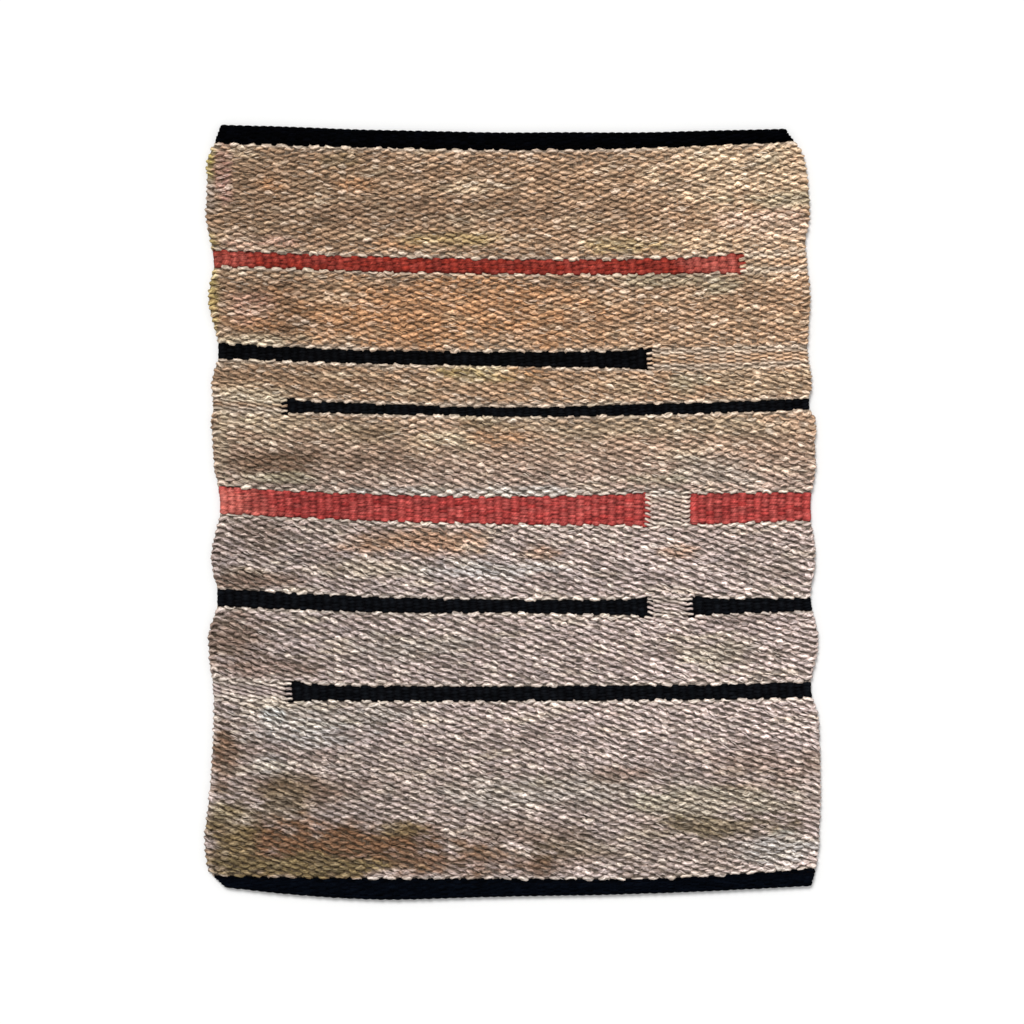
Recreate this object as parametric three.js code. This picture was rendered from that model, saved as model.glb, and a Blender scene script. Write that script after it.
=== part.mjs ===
import * as THREE from "three";
import { mergeVertices } from "three/addons/utils/BufferGeometryUtils.js";

// Jute rug, lying flat: one woven cloth with broken bars of finer yarn and a hemmed band at
// each end. Millimetres, +Z up, +Y towards the far end, the origin under the rug's middle.

// Height of the cloth's face above the floor
const JUTE_THICK = 8;
const BAR_THICK = 6.5; // the bars' finer yarn packs flatter than the jute
const HEM_THICK = 8; // an end band, turned under and pressed to two thin layers

// The warp cords run the length of the rug and are counted from the west edge
const WARPS = 73;

// Shape of the steps and edges
const STEP_RUN = 2; // width of the slope between jute and bar
const BAR_END_RUN = 0.25; // half the slope at a bar's end, in warps
const EDGE_INSET = 4; // the rounding of the rug's edge ends this far in
const RIM_INSET = 1.2; // and passes this far in
const RIM_RISE = 0.16; // at this share of the thickness from each face

// Spacing of the points
const ROW_PITCH = 17;
const COLUMN_PITCH = 52;

// Where each line of weft lies, from the far end to the near end: its Y at the west edge,
// at each quarter of the width and at the east edge. They all sag towards the near end.
const WEFT_LINES = [
  { line: "far end", west: 388.5, quarter: 383.5, middle: 380.5, threeQuarter: 380.5, east: 384 },
  { line: "far band, near side", west: 369.5, quarter: 365.5, middle: 362.5, threeQuarter: 364.5, east: 371 },
  { line: "bar 1, far side", west: 261.5, quarter: 255, middle: 252, threeQuarter: 252.5, east: 260.5 },
  { line: "bar 1, near side", west: 246, quarter: 241.5, middle: 238.5, threeQuarter: 238.5, east: 243.5 },
  { line: "bar 2, far side", west: 168.5, quarter: 161.5, middle: 159.5, threeQuarter: 160.5, east: 164.5 },
  { line: "bar 2, near side", west: 153.5, quarter: 148.5, middle: 146, threeQuarter: 144.5, east: 148.5 },
  { line: "bar 3, far side", west: 114.5, quarter: 108, middle: 104.5, threeQuarter: 107.5, east: 112.5 },
  { line: "bar 3, near side", west: 102.5, quarter: 98.5, middle: 95.5, threeQuarter: 97.5, east: 103 },
  { line: "bar 4, far side", west: 25, quarter: 17, middle: 15, threeQuarter: 17, east: 19 },
  { line: "bar 4, near side", west: -1.5, quarter: -8.5, middle: -12, threeQuarter: -12.5, east: -8.5 },
  { line: "bar 5, far side", west: -77.5, quarter: -85.5, middle: -88.5, threeQuarter: -88, east: -86.5 },
  { line: "bar 5, near side", west: -94, quarter: -99.5, middle: -101, threeQuarter: -102.5, east: -98.5 },
  { line: "bar 6, far side", west: -168.5, quarter: -174.5, middle: -175.5, threeQuarter: -174, east: -171 },
  { line: "bar 6, near side", west: -186.5, quarter: -189, middle: -189, threeQuarter: -188, east: -185.5 },
  { line: "near band, far side", west: -364.5, quarter: -368, middle: -368.5, threeQuarter: -367.5, east: -357.5 },
  { line: "near end", west: -377, quarter: -389, middle: -385.5, threeQuarter: -382.5, east: -375 },
];

// What is woven between one line and the next. A bar's spans are counted in warps, and jute
// fills the rest of its width.
const SECTIONS = [
  { section: "far band", thick: HEM_THICK, spans: [[0, WARPS]] },
  { section: "field 1", thick: JUTE_THICK, spans: [] },
  { section: "bar 1, red", thick: BAR_THICK, spans: [[0, 64.5]] },
  { section: "field 2", thick: JUTE_THICK, spans: [] },
  { section: "bar 2, black", thick: BAR_THICK, spans: [[0, 53.5]] },
  { section: "field 3", thick: JUTE_THICK, spans: [] },
  { section: "bar 3, black", thick: BAR_THICK, spans: [[9, WARPS]] },
  { section: "field 4", thick: JUTE_THICK, spans: [] },
  { section: "bar 4, red", thick: BAR_THICK, spans: [[0, 52.5], [58, WARPS]] },
  { section: "field 5", thick: JUTE_THICK, spans: [] },
  { section: "bar 5, black", thick: BAR_THICK, spans: [[0, 53], [58.5, WARPS]] },
  { section: "field 6", thick: JUTE_THICK, spans: [] },
  { section: "bar 6, black", thick: BAR_THICK, spans: [[9, WARPS]] },
  { section: "field 7", thick: JUTE_THICK, spans: [] },
  { section: "near band", thick: HEM_THICK, spans: [[0, WARPS]] },
];

// The two selvedges: drawn in where the finer bars are, bellied out between them
const SELVEDGES = [
  { along: 388.5, west: -291.5, east: 273.5 },
  { along: 378.5, west: -294.5, east: 276.5 },
  { along: 366.5, west: -299.5, east: 287.5 },
  { along: 352.5, west: -305.5, east: 295 },
  { along: 332.5, west: -305.5, east: 297.5 },
  { along: 294.5, west: -307.5, east: 299.5 },
  { along: 268.5, west: -302.5, east: 295 },
  { along: 250.5, west: -298, east: 297 },
  { along: 212.5, west: -304.5, east: 299.5 },
  { along: 160.5, west: -294.5, east: 297 },
  { along: 130.5, west: -301.5, east: 301.5 },
  { along: 106.5, west: -299, east: 298.5 },
  { along: 90, west: -301.5, east: 305 },
  { along: 66, west: -300.5, east: 303 },
  { along: 42.5, west: -298.5, east: 305.5 },
  { along: 7.5, west: -292.5, east: 299.5 },
  { along: -47.5, west: -301.5, east: 304.5 },
  { along: -89.5, west: -294.5, east: 299.5 },
  { along: -127.5, west: -304.5, east: 307.5 },
  { along: -177.5, west: -299.5, east: 300 },
  { along: -203.5, west: -298.5, east: 308 },
  { along: -227.5, west: -299.5, east: 309 },
  { along: -277.5, west: -303, east: 309.5 },
  { along: -332.5, west: -309, east: 308.5 },
  { along: -359.5, west: -304.5, east: 304 },
  { along: -368.5, west: -294.5, east: 301.5 },
  { along: -376.5, west: -285.5, east: 299 },
];

// Smooth curves through the tables
const lineCurves = WEFT_LINES.map(
  (l) =>
    new THREE.CubicInterpolant(
      [0, 0.25, 0.5, 0.75, 1],
      [l.west, l.quarter, l.middle, l.threeQuarter, l.east],
      1,
    ),
);
const bottomUp = [...SELVEDGES].reverse();
const selvedgeCurve = new THREE.CubicInterpolant(
  bottomUp.map((s) => s.along),
  bottomUp.flatMap((s) => [s.west, s.east]),
  2,
);

// Y of a point a share across the width, and a share of the way through a section
function weftY(section, share, across) {
  const far = lineCurves[section].evaluate(across)[0];
  const near = lineCurves[section + 1].evaluate(across)[0];
  return THREE.MathUtils.lerp(far, near, share);
}

// X and Y of the point where a weft line meets a warp
function crossing(section, share, across) {
  const west = selvedgeCurve.evaluate(weftY(section, share, 0))[0];
  const east = selvedgeCurve.evaluate(weftY(section, share, 1))[1];
  return {
    x: THREE.MathUtils.lerp(west, east, across),
    y: weftY(section, share, across),
  };
}

// The rows of points: one on each side of every step, and more along the deep sections
function pointRows() {
  const last = SECTIONS.length - 1;
  return SECTIONS.flatMap((_, section) => {
    const depth = weftY(section, 0, 0.5) - weftY(section, 1, 0.5);
    const first = (section === 0 ? EDGE_INSET : STEP_RUN / 2) / depth;
    const end = 1 - (section === last ? EDGE_INSET : STEP_RUN / 2) / depth;
    const count = Math.max(1, Math.round(depth / ROW_PITCH));
    const inner = Array.from({ length: count + 1 }, (_, i) => ({
      section,
      share: THREE.MathUtils.lerp(first, end, i / count),
    }));
    if (section === 0) inner.unshift({ section, share: 0 });
    if (section === last) inner.push({ section, share: 1 });
    return inner;
  });
}

// The columns of points, as shares of the width: the rims, both sides of each bar's end, and
// more between them
function pointColumns() {
  const width = SELVEDGES[0].east - SELVEDGES[0].west;
  const ends = SECTIONS.flatMap((s) => s.spans.flat()).filter((w) => w > 0 && w < WARPS);
  const fixed = [...new Set(ends)]
    .sort((a, b) => a - b)
    .flatMap((w) => [(w - BAR_END_RUN) / WARPS, (w + BAR_END_RUN) / WARPS]);
  const inset = EDGE_INSET / width;
  const stops = [inset, ...new Set(fixed), 1 - inset].sort((a, b) => a - b);
  const columns = [0];
  stops.forEach((stop, i) => {
    const gap = i === 0 ? 0 : (stop - stops[i - 1]) * width;
    const parts = Math.max(1, Math.round(gap / COLUMN_PITCH));
    for (let k = 1; i > 0 && k < parts; k++)
      columns.push(THREE.MathUtils.lerp(stops[i - 1], stop, k / parts));
    columns.push(stop);
  });
  return [...columns, 1];
}

// Thickness of the cloth where a row crosses a column
function thicknessAt(section, across) {
  const { thick, spans } = SECTIONS[section];
  const inSpan = spans.some(([from, to]) => across * WARPS >= from && across * WARPS <= to);
  return inSpan || spans.length === 0 ? thick : JUTE_THICK;
}

// The cloth: a grid of points on the weft lines and warps, in three layers, of which the
// middle one reaches furthest out so that the rim is rounded
function makeCloth() {
  const rows = pointRows();
  const columns = pointColumns();
  const lastRow = rows.length - 1;
  const lastColumn = columns.length - 1;
  const box = new THREE.BoxGeometry(1, 1, 1, lastColumn, lastRow, 2);
  box.deleteAttribute("normal");
  box.deleteAttribute("uv");
  const cloth = mergeVertices(box);
  const points = cloth.getAttribute("position");
  for (let i = 0; i < points.count; i++) {
    const column = Math.round((points.getX(i) + 0.5) * lastColumn);
    const row = Math.round((0.5 - points.getY(i)) * lastRow);
    const layer = Math.round(points.getZ(i) * 2); // -1 floor, 0 middle, 1 top
    const { section, share } = rows[row];
    const across = columns[column];
    const thick = thicknessAt(section, across);
    const { x, y } = crossing(section, share, across);
    const atSide = column === 0 || column === lastColumn;
    const atEnd = row === 0 || row === lastRow;
    const inward = layer === 0 ? 0 : RIM_INSET;
    const rise = layer === 0 || !(atSide || atEnd) ? 0 : RIM_RISE * thick;
    points.setXYZ(
      i,
      x - (atSide ? Math.sign(across - 0.5) * inward : 0),
      y - (atEnd ? Math.sign(lastRow / 2 - row) * inward : 0),
      (thick / 2) * (1 + layer) - layer * rise,
    );
  }
  return centred(cloth);
}

// Moves a shape so that the middle of its box stands over the origin
function centred(geometry) {
  geometry.computeBoundingBox();
  const middle = geometry.boundingBox.getCenter(new THREE.Vector3());
  return geometry.translate(-middle.x, -middle.y, 0);
}

const rug = new THREE.Group();
const cloth = new THREE.Mesh(
  makeCloth(),
  new THREE.MeshStandardMaterial({ color: 0xa48f73, roughness: 0.95, metalness: 0 }),
);
cloth.name = "woven_cloth";
rug.add(cloth);

export default rug;
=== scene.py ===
"""Jute rug, lying flat: hand-spun jute weft over warp cords, broken bars of finer yarn, and a
turned-under band at each end. Every pick of weft is a yarn that goes over and under the warps and
turns back at the selvedge. Metres, +Z up, +Y towards the far end."""
import math
from functools import partial

import bmesh
import bpy
import numpy as np
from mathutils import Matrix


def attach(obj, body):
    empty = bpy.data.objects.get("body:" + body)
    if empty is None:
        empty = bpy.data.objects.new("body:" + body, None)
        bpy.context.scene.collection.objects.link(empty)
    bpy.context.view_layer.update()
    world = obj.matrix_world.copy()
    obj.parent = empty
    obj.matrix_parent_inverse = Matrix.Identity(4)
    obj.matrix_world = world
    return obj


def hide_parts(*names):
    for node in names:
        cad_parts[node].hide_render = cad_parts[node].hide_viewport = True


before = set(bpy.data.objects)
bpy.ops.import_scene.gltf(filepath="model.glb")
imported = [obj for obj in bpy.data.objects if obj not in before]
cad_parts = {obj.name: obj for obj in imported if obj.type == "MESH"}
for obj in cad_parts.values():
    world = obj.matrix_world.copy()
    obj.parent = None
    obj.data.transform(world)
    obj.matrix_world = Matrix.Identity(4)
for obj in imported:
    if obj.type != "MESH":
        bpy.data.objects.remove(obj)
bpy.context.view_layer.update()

MM = 0.001

# The loom's set-up. The warp cords are counted from the west selvedge.
WARPS = 73
MID_HEIGHT = 4.0 * MM  # of the warps above the floor
CORD_RISE = 0.8 * MM  # half the thickness of the warp layer on a cord
VALLEY_RISE = 0.4 * MM  # and between two
JUTE_PICK = 3.2 * MM  # from one pick of jute to the next
MOST_PICKS = 44  # in one length of jute
MIDDLE = np.array([0.3, -0.3])  # of the outline's box in the tables below, in millimetres

# Yarns: how far the yarn's middle rises over a warp, how much of that it keeps between two, and
# half its height, in millimetres; half its width on top of a warp, where it dives between two and
# in a loop round a shared warp, in pick pitches; how far in that loop turns, in warps; how round
# its bend over a warp is, from 0 for a square one to 1; how far a float strays from its line, in
# millimetres; the share by which its thickness varies; and the sides of its section.
YARN_COLUMNS = (
    "rise", "lift", "height", "crown", "dive", "loop", "inset", "bend", "stray", "slub", "sides"
)
YARN_ROWS = {
    "jute": (2.3, 1.1, 1.55, 0.77, 0.46, 0.5, 0.0, 0.6, 0.9, 0.6, 6),
    "fill": (2.2, 0.8, 1.3, 0.86, 0.56, 0.56, 0.35, 0.6, 0.4, 0.3, 6),
    "red": (1.65, 0.0, 0.75, 1.5, 1.2, 0.6, 0.0, 1.0, 0.2, 0.2, 5),
    "black": (1.65, 0.0, 0.75, 1.5, 1.2, 1.1, 0.0, 1.0, 0.2, 0.2, 5),
    "hem": (0.8, 0.1, 0.85, 1.6, 0.9, 0.7, 0.0, 0.5, 0.05, 0.05, 5),
}
YARNS = {name: dict(zip(YARN_COLUMNS, row)) for name, row in YARN_ROWS.items()}
FILL_LEAN = 0.75  # of the lean of the field that the fill runs on from

# Loose slivers of jute fibre that stand out of the yarn, in millimetres
SLIVERS = 11000
SLIVER_SEED = 31
SLIVER_LENGTH = (5.0, 13.0)
SLIVER_WIDTH = (0.5, 1.5)
SLIVER_FLATNESS = 0.7  # its height for its width
SLIVER_BOW = 0.15  # how far at most it bows aside, for half its length
SLIVER_SLANT = 22.0  # degrees, to either side of the yarn
SLIVER_TOP = 3.75  # over the middle layer
SLIVER_SINK = (-0.5, 0.1)  # how far off that height it may lie
SLIVER_DIP = 1.6  # of the longest one's two ends
SLIVER_RUN = 4.0  # the run over which a slanted float leans
SLIVER_STRAY = (0.45, 0.5)  # from the middle of its float, in warps and picks
SLIVER_LAST = WARPS - 0.6  # none lies further east than this place, in warps
SLIVER_RINGS = 5  # a blunt point at each end and three rings between
SLIVER_SIDES = 3

# Where each line of weft lies, from the far end to the near end, in millimetres: its Y at the
# west edge, at each quarter of the width and at the east edge
WEFT_LINES = np.array([
    (388.5, 383.5, 380.5, 380.5, 384.0),  # far end
    (369.5, 365.5, 362.5, 364.5, 371.0),
    (261.5, 255.0, 252.0, 252.5, 260.5),  # bar 1, red
    (246.0, 241.5, 238.5, 238.5, 243.5),
    (168.5, 161.5, 159.5, 160.5, 164.5),  # bar 2, black
    (153.5, 148.5, 146.0, 144.5, 148.5),
    (114.5, 108.0, 104.5, 107.5, 112.5),  # bar 3, black
    (102.5, 98.5, 95.5, 97.5, 103.0),
    (25.0, 17.0, 15.0, 17.0, 19.0),  # bar 4, red
    (-1.5, -8.5, -12.0, -12.5, -8.5),
    (-77.5, -85.5, -88.5, -88.0, -86.5),  # bar 5, black
    (-94.0, -99.5, -101.0, -102.5, -98.5),
    (-168.5, -174.5, -175.5, -174.0, -171.0),  # bar 6, black
    (-186.5, -189.0, -189.0, -188.0, -185.5),
    (-364.5, -368.0, -368.5, -367.5, -357.5),
    (-377.0, -389.0, -385.5, -382.5, -375.0),  # near end
])
STATIONS = np.array([0.0, 0.25, 0.5, 0.75, 1.0])

# The two selvedges, from the near end to the far end, in millimetres: Y, west X, east X
SELVEDGES = np.array([
    (-376.5, -285.5, 299.0),
    (-368.5, -294.5, 301.5),
    (-359.5, -304.5, 304.0),
    (-332.5, -309.0, 308.5),
    (-277.5, -303.0, 309.5),
    (-227.5, -299.5, 309.0),
    (-203.5, -298.5, 308.0),
    (-177.5, -299.5, 300.0),
    (-127.5, -304.5, 307.5),
    (-89.5, -294.5, 299.5),
    (-47.5, -301.5, 304.5),
    (7.5, -292.5, 299.5),
    (42.5, -298.5, 305.5),
    (66.0, -300.5, 303.0),
    (90.0, -301.5, 305.0),
    (106.5, -299.0, 298.5),
    (130.5, -301.5, 301.5),
    (160.5, -294.5, 297.0),
    (212.5, -304.5, 299.5),
    (250.5, -298.0, 297.0),
    (268.5, -302.5, 295.0),
    (294.5, -307.5, 299.5),
    (332.5, -305.5, 297.5),
    (352.5, -305.5, 295.0),
    (366.5, -299.5, 287.5),
    (378.5, -294.5, 276.5),
    (388.5, -291.5, 273.5),
])

# What is woven between one line and the next, by the yarn and the number of picks of each bar.
# spans are a bar's first and last warps, and it shares an inner one with the jute beside it.
# lean is how far the ends of a jute float stand off its middle, in millimetres, at the far and
# near sides of a field: positive runs down to the east.
SECTIONS = [
    {"name": "far_band", "yarn": "hem"},
    {"name": "field_1", "yarn": "jute", "lean": (0.0, 0.1)},
    {"name": "bar_1", "yarn": "red", "picks": 6, "spans": [(0, 64)]},
    {"name": "field_2", "yarn": "jute", "lean": (0.1, 0.4)},
    {"name": "bar_2", "yarn": "black", "picks": 8, "spans": [(0, 53)]},
    {"name": "field_3", "yarn": "jute", "lean": (0.6, 0.8)},
    {"name": "bar_3", "yarn": "black", "picks": 6, "spans": [(8, 72)]},
    {"name": "field_4", "yarn": "jute", "lean": (0.7, 0.9)},
    {"name": "bar_4", "yarn": "red", "picks": 13, "spans": [(0, 52), (58, 72)], "slits": [57]},
    {"name": "field_5", "yarn": "jute", "lean": (1.0, 1.2)},
    {"name": "bar_5", "yarn": "black", "picks": 8, "spans": [(0, 53), (58, 72)]},
    {"name": "field_6", "yarn": "jute", "lean": (1.1, 1.3)},
    {"name": "bar_6", "yarn": "black", "picks": 8, "spans": [(9, 72)]},
    {"name": "field_7", "yarn": "jute", "lean": (1.4, 0.8)},
    {"name": "near_band", "yarn": "hem"},
]

# How the cloth gives, in millimetres: the jute floats beside a bar or band are pressed back, a
# bar opens out where jute is dovetailed into its end, and the warps stray
PRESSED_BACK = 0.75
PRESSED_FADE = 3.5
LEAN_FADE = 9.0  # the run over which a field's floats take up their lean
FLARE = 5.0
FLARE_RUN = 1.7  # in warps
FLARE_FADE = 9.0
WARP_STRAY = 0.9

# Where the warps stand aside at the ends of the bars, in millimetres: X, Y and how far to the east
WARP_SHIFTS = [
    (231, 248, 3.7),
    (138, 152, -1.0),
    (-227, 105, 2.4),
    (136, 5, 2.7),
    (179, 5, 1.4),
    (138, -95, -2.4),
    (180, -95, -1.4),
    (-223, -180, -2.0),
]
SHIFT_REACH = 22.0

# The bands: turned under round a small fold, with so many picks on top, round it and beneath
FOLD_RADIUS = 2.0 * MM
HEM_REACH = 4.0 * MM  # from the fold's middle to the rug's end
HEM_RAMP = 6.0 * MM  # over which the band climbs from the warps' height to the top layer's
TURNED_UNDER = 0.75  # of the band's depth
HEM_PICKS = (7, 4, 5)

# The picture: the camera looks straight down, with the rug's face this wide across the frame
FRAME_WIDTH = 1.024
FACE_HEIGHT = 7.0 * MM
SENSOR = 36.0
LENS = 85.0


def linked(name, data):
    """A new object in the scene."""
    made = bpy.data.objects.new(name, data)
    bpy.context.scene.collection.objects.link(made)
    return made


def make_camera():
    """A camera that looks straight down, with the far end at the top of the picture."""
    data = bpy.data.cameras.new("camera")
    data.sensor_width = SENSOR
    data.lens = LENS
    camera = linked("camera", data)
    camera.location = (0, 0, FACE_HEIGHT + FRAME_WIDTH * LENS / SENSOR)
    bpy.context.scene.camera = camera


# The cloth's plan


def smooth_step(value, low, high):
    """0 at low and 1 at high, with a smooth run between."""
    share = np.clip((value - low) / (high - low), 0, 1)
    return share * share * (3 - 2 * share)


def smooth_curve(xs, ys, x):
    """The smooth curve through the points (xs, ys), read at x."""
    slopes = np.empty_like(ys)
    slopes[1:-1] = (ys[2:] - ys[:-2]) / (xs[2:] - xs[:-2])
    slopes[0] = 1.5 * (ys[1] - ys[0]) / (xs[1] - xs[0]) - slopes[1] / 2
    slopes[-1] = 1.5 * (ys[-1] - ys[-2]) / (xs[-1] - xs[-2]) - slopes[-2] / 2
    i = np.clip(np.searchsorted(xs, x) - 1, 0, len(xs) - 2)
    span = xs[i + 1] - xs[i]
    t = (x - xs[i]) / span
    return (
        (1 + 2 * t) * (1 - t) ** 2 * ys[i]
        + t * (1 - t) ** 2 * span * slopes[i]
        + t * t * (3 - 2 * t) * ys[i + 1]
        + t * t * (t - 1) * span * slopes[i + 1]
    )


def line_y(line, warp):
    """Y of a line of weft at a place counted in warps."""
    return (smooth_curve(STATIONS, WEFT_LINES[line], warp / WARPS) - MIDDLE[1]) * MM


WEST, EAST = 1, 2  # the selvedges' columns in their table


def selvedge_x(column, y):
    """X of a selvedge at a Y."""
    x = smooth_curve(SELVEDGES[:, 0], SELVEDGES[:, column], y / MM + MIDDLE[1])
    return (x - MIDDLE[0]) * MM


def cloth_x(y_west, y_east, warp, inset):
    """X of a place counted in warps on a weft that reaches the selvedges at y_west and y_east."""
    west = selvedge_x(WEST, y_west)
    east = selvedge_x(EAST, y_east)
    return west + inset + (east - west - 2 * inset) * warp / WARPS


def depth_of(section):
    """A section's depth in the middle of the rug."""
    middle = np.array(WARPS / 2)
    return float(line_y(section, middle) - line_y(section + 1, middle))


def picks_of(index):
    """The number of picks in a section that isn't a band."""
    return SECTIONS[index].get("picks") or round(depth_of(index) / JUTE_PICK)


def first_picks():
    """The number of each section's first pick, counted from the far end of field 1."""
    firsts = [0, 0]
    for index in range(1, len(SECTIONS) - 1):
        firsts.append(firsts[-1] + picks_of(index))
    return firsts


def field_lean(index, share):
    """How far a float's ends stand off its middle, a share of the way through a field."""
    far, near = SECTIONS[index]["lean"]
    return far + (near - far) * share


def shared_ends():
    """The section and warp of each bar's end that is dovetailed with jute."""
    return [
        (index, end)
        for index, section in enumerate(SECTIONS)
        for span in section.get("spans", [])
        for end in span
        if 0 < end < WARPS - 1 and end - 1 not in section.get("slits", [])
    ]


def giving(warp, y):
    """How far the cloth gives along the rug at a warp and Y."""
    shift = 0 * y
    for line in range(1, len(SECTIONS)):
        jute_is_far = SECTIONS[line - 1]["yarn"] == "jute"
        edge_pick = FIRST_PICKS[line] - (1 if jute_is_far else 0)
        over = np.sin(math.pi * warp) * (-1 if edge_pick % 2 else 1)
        fade = np.exp(-np.abs(y - line_y(line, warp)) / (PRESSED_FADE * MM))
        shift = shift + over * fade * PRESSED_BACK * MM * (1 if jute_is_far else -1)
    for section, end in SHARED_ENDS:
        far, near = line_y(section, warp), line_y(section + 1, warp)
        off = (y - (far + near) / 2) / ((far - near) / 2)
        beyond = np.clip(np.abs(off) - 1, 0, None) * (far - near) / 2
        opened = np.clip(off, -1, 1) * np.exp(-beyond / (FLARE_FADE * MM))
        shift = shift + opened * FLARE / 2 * MM * np.exp(-(((warp - end - 0.5) / FLARE_RUN) ** 2))
    return shift


def straying(x, y, warp):
    """How far the warps stray across the rug."""
    shift = WARP_STRAY * uneven("warp", warp, y)
    for at_x, at_y, aside in WARP_SHIFTS:
        distance = np.hypot(x / MM - at_x, y / MM - at_y) / SHIFT_REACH
        shift = shift + aside * np.exp(-distance * distance)
    return shift * MM


def in_section(section, share, warp, inset=0.0):
    """X, Y, height and turn of the cloth's middle layer, a share of the way through a section."""

    def y_at(place):
        far = line_y(section, place)
        return far + (line_y(section + 1, place) - far) * share

    x = cloth_x(y_at(0.0 * warp), y_at(0.0 * warp + WARPS), warp, inset)
    y = y_at(warp)
    return x + straying(x, y, warp), y + giving(warp, y), MID_HEIGHT + 0 * x, 0 * x


def in_band(section, stage, warp, inset=0.0):
    """The same in an end band. stage runs 0 to 1 on top, to 2 round the fold and to 3 beneath."""
    far_side = section == 0
    outward = 1 if far_side else -1
    flat = np.clip(stage, 0, 1)
    fold = np.clip(stage - 1, 0, 1) * math.pi
    under = np.clip(stage - 2, 0, 1)

    def y_at(place):
        inner = line_y(section + (1 if far_side else 0), place)
        depth = np.abs(line_y(section + (0 if far_side else 1), place) - inner) - HEM_REACH
        reach = depth * (flat - under * TURNED_UNDER) + FOLD_RADIUS * np.sin(fold)
        return inner + outward * reach, depth

    y, depth = y_at(warp)
    ramp = smooth_step(depth * flat, 0, HEM_RAMP)
    z = MID_HEIGHT + FOLD_RADIUS * (ramp * (fold == 0) + np.cos(fold) * (fold > 0))
    x = cloth_x(y_at(0.0 * warp)[0], y_at(0.0 * warp + WARPS)[0], warp, inset)
    y = y + giving(warp, y) * (fold == 0)
    return x + straying(x, y, warp), y, z, -outward * fold + 0 * x


# Unevenness

TABLE = 512  # the random table repeats after so many steps

# For each kind of unevenness: the seed of its chance, and over how many warps and picks it
# changes, or for the warps' own over how many warps and how far along the rug
UNEVENNESS = {
    "slub": (3, 1.7, 1),
    "fine_slub": (4, 0.25, 1),
    "aside": (5, 1, 1),
    "slant": (6, 1, 1),
    "tone": (7, 1, 1),
    "crossing": (8, 1, 1),
    "slow_tone": (9, 5, 1),
    "sinking": (10, 1, 1),
    "row": (11, 9, 3),
    "warp": (21, 2.5, 35.0 * MM),
}


def noise(seed, u, v):
    """A smooth random value from -1 to 1 for each u and v, that changes over one unit of each."""
    table = np.random.default_rng(seed).uniform(-1, 1, (TABLE, TABLE))
    ui = np.floor(u).astype(int)
    vi = np.floor(v).astype(int)
    uf = (1 - np.cos((u - ui) * math.pi)) / 2
    vf = (1 - np.cos((v - vi) * math.pi)) / 2
    ui, vi, un, vn = ui % TABLE, vi % TABLE, (ui + 1) % TABLE, (vi + 1) % TABLE
    low = table[ui, vi] * (1 - uf) + table[un, vi] * uf
    high = table[ui, vn] * (1 - uf) + table[un, vn] * uf
    return low * (1 - vf) + high * vf


def uneven(kind, u, v):
    """One kind of unevenness at a place in the weave, from -1 to 1."""
    seed, u_run, v_run = UNEVENNESS[kind]
    return noise(seed, u / u_run, v / v_run)


# Yarns

RIM_TURN = np.radians([0, 30, 60])  # the places round an outermost warp, from its side up
RIM_PLACES = len(RIM_TURN)
FLOAT_PLACES = np.array([0.5, 0.85, 1.15])  # and along a float, in warps
CROSSING_STRAY = 1.9  # how far a dive strays along the yarn, in the yarn's own strays
SLANT = 1.6  # how far a float's ends stray to either side, in the same
ROW_STRAY = 0.5 * MM  # how far the picks wander together
SINKING = 0.1  # the share of its rise by which a float may lie lower than the next
RIM_STRAY = 0.3  # the share of a crossing's stray that is left at the ends of a pick
SLUB_SHARES = (0.7, 0.5)  # of the long and the short thick places
SLUB_HEIGHT = 0.5  # the share of a slub's swelling that goes into its height
TONE_SHARES = (0.6, 0.4)  # of each float's own tone and of the slow change
MERGED = 0.001 * MM  # points nearer than this are made one


def pick_places(first, last, bend, insets):
    """Places along a pick that goes round the warps first and last, and its rise at each. insets
    are how far in it turns at each end, in warps."""
    west, east = (0.5 - (0.5 - inset) * np.cos(RIM_TURN) for inset in insets)
    inner = (np.arange(first, last)[:, None] + FLOAT_PLACES).ravel()
    places = np.concatenate([first + west, inner, [last + 0.5], last + 1 - east[::-1]])
    wave = np.sin(math.pi * places)
    rises = np.sign(wave) * np.abs(wave) ** bend
    rises[:RIM_PLACES] = np.sin(RIM_TURN) * np.cos(math.pi * first)
    rises[-RIM_PLACES:] = np.sin(RIM_TURN[::-1]) * np.cos(math.pi * last)
    return places, rises


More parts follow.
